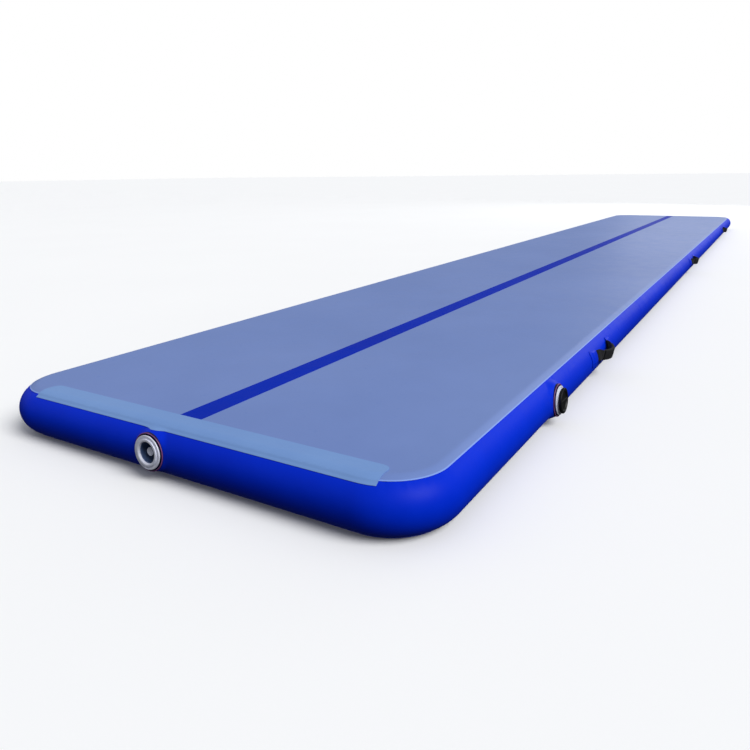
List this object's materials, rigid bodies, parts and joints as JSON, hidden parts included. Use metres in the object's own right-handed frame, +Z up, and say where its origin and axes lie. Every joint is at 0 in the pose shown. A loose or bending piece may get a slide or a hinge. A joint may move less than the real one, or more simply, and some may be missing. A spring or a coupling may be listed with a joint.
{
  "type": "air track mat",
  "caption": "Inflatable drop-stitch tumbling mat with rounded edges, a centre line, sprung air valves and carrying handles.",
  "frame": {"origin": "on the floor under the middle of the mat", "axes": "+X along the mat away from the end valve, +Y to its left side, +Z up"},
  "size_m": [6.0093, 1.0564, 0.1011],
  "materials": {
    "top_fabric": "coated fabric, satin",
    "wall_fabric": "coated fabric, satin",
    "strip_fabric": "coated fabric, satin",
    "line_fabric": "coated fabric, satin",
    "yarn": "polyester yarn",
    "collar_rubber": "moulded, matt",
    "seal_rubber": "moulded, matt",
    "valve_plastic": "moulded, semi-gloss",
    "spring_steel": "drawn wire",
    "cap_plastic": "moulded, semi-gloss",
    "webbing": "woven webbing",
    "grip_rubber": "foam rubber sleeve"
  },
  "bodies": {
    "mat": {"top_sheet": "top_fabric", "bottom_sheet": "wall_fabric", "wall_near_end": "wall_fabric", "wall_far_end": "wall_fabric", "wall_left": "wall_fabric", "wall_right": "wall_fabric", "wall_corner_near_right": "wall_fabric", "wall_corner_near_left": "wall_fabric", "wall_corner_far_right": "wall_fabric", "wall_corner_far_left": "wall_fabric", "seam_tape_top": "wall_fabric", "seam_tape_bottom": "wall_fabric", "end_strip_near": "strip_fabric", "end_strip_far": "strip_fabric", "centre_line": "line_fabric", "drop_stitch_core": "yarn", "end_valve_collar": "collar_rubber", "end_valve_gasket": "seal_rubber", "end_valve_body": "valve_plastic", "end_valve_nut": "valve_plastic", "end_valve_spring": "spring_steel", "side_valve_collar": "collar_rubber", "side_valve_gasket": "seal_rubber", "side_valve_body": "valve_plastic", "side_valve_nut": "valve_plastic", "side_valve_spring": "spring_steel", "handle_right_1_patch_a": "wall_fabric", "handle_right_1_patch_b": "wall_fabric", "handle_right_2_patch_a": "wall_fabric", "handle_right_2_patch_b": "wall_fabric", "handle_right_3_patch_a": "wall_fabric", "handle_right_3_patch_b": "wall_fabric", "handle_left_1_patch_a": "wall_fabric", "handle_left_1_patch_b": "wall_fabric", "handle_left_2_patch_a": "wall_fabric", "handle_left_2_patch_b": "wall_fabric", "handle_left_3_patch_a": "wall_fabric", "handle_left_3_patch_b": "wall_fabric"},
    "end_valve_plunger": {"end_valve_plunger": "valve_plastic", "end_valve_diaphragm": "seal_rubber"},
    "side_valve_plunger": {"side_valve_plunger": "valve_plastic", "side_valve_diaphragm": "seal_rubber"},
    "side_valve_cap_seal": {"side_valve_cap_seal": "seal_rubber"},
    "side_valve_cap": {"side_valve_cap": "cap_plastic"},
    "handle_right_1": {"handle_right_1_strap": "webbing", "handle_right_1_grip": "grip_rubber"},
    "handle_right_2": {"handle_right_2_strap": "webbing", "handle_right_2_grip": "grip_rubber"},
    "handle_right_3": {"handle_right_3_strap": "webbing", "handle_right_3_grip": "grip_rubber"},
    "handle_left_1": {"handle_left_1_strap": "webbing", "handle_left_1_grip": "grip_rubber"},
    "handle_left_2": {"handle_left_2_strap": "webbing", "handle_left_2_grip": "grip_rubber"},
    "handle_left_3": {"handle_left_3_strap": "webbing", "handle_left_3_grip": "grip_rubber"}
  },
  "joints": [
    {"name": "end_valve_push", "type": "slide", "parent": "mat", "child": "end_valve_plunger", "axis": [0.9962, 0, -0.0872], "range_m": [0, 0.006], "stiffness_N_per_m": 600, "springref_m": -0.004, "deforming": ["end_valve_spring"]},
    {"name": "side_valve_push", "type": "slide", "parent": "mat", "child": "side_valve_plunger", "axis": [0, 0.9962, -0.0872], "range_m": [0, 0.006], "stiffness_N_per_m": 600, "springref_m": -0.004, "deforming": ["side_valve_spring"]},
    {"name": "cap_lift", "type": "slide", "parent": "mat", "child": "side_valve_cap_seal", "axis": [0, -0.9962, 0.0872], "range_m": [0, 0.006]},
    {"name": "cap_turn", "type": "hinge", "parent": "side_valve_cap_seal", "child": "side_valve_cap", "pos_m": [-2.4, -0.50997, 0.05523], "axis": [0, -0.9962, 0.0872], "range_deg": [0, 361.5]},
    {"name": "handle_right_1_swing", "type": "hinge", "parent": "mat", "child": "handle_right_1", "pos_m": [-2, -0.50051, 0.06635], "axis": [-1, 0, 0], "range_deg": [0, 70]},
    {"name": "handle_right_2_swing", "type": "hinge", "parent": "mat", "child": "handle_right_2", "pos_m": [0, -0.50051, 0.06635], "axis": [-1, 0, 0], "range_deg": [0, 70]},
    {"name": "handle_right_3_swing", "type": "hinge", "parent": "mat", "child": "handle_right_3", "pos_m": [2, -0.50051, 0.06635], "axis": [-1, 0, 0], "range_deg": [0, 70]},
    {"name": "handle_left_1_swing", "type": "hinge", "parent": "mat", "child": "handle_left_1", "pos_m": [-2, 0.50051, 0.06635], "axis": [1, 0, 0], "range_deg": [0, 70]},
    {"name": "handle_left_2_swing", "type": "hinge", "parent": "mat", "child": "handle_left_2", "pos_m": [0, 0.50051, 0.06635], "axis": [1, 0, 0], "range_deg": [0, 70]},
    {"name": "handle_left_3_swing", "type": "hinge", "parent": "mat", "child": "handle_left_3", "pos_m": [2, 0.50051, 0.06635], "axis": [1, 0, 0], "range_deg": [0, 70]}
  ],
  "couplings": [
    {"joint": "cap_turn", "follows": "cap_lift", "rad_per_m": 1047.2}
  ]
}
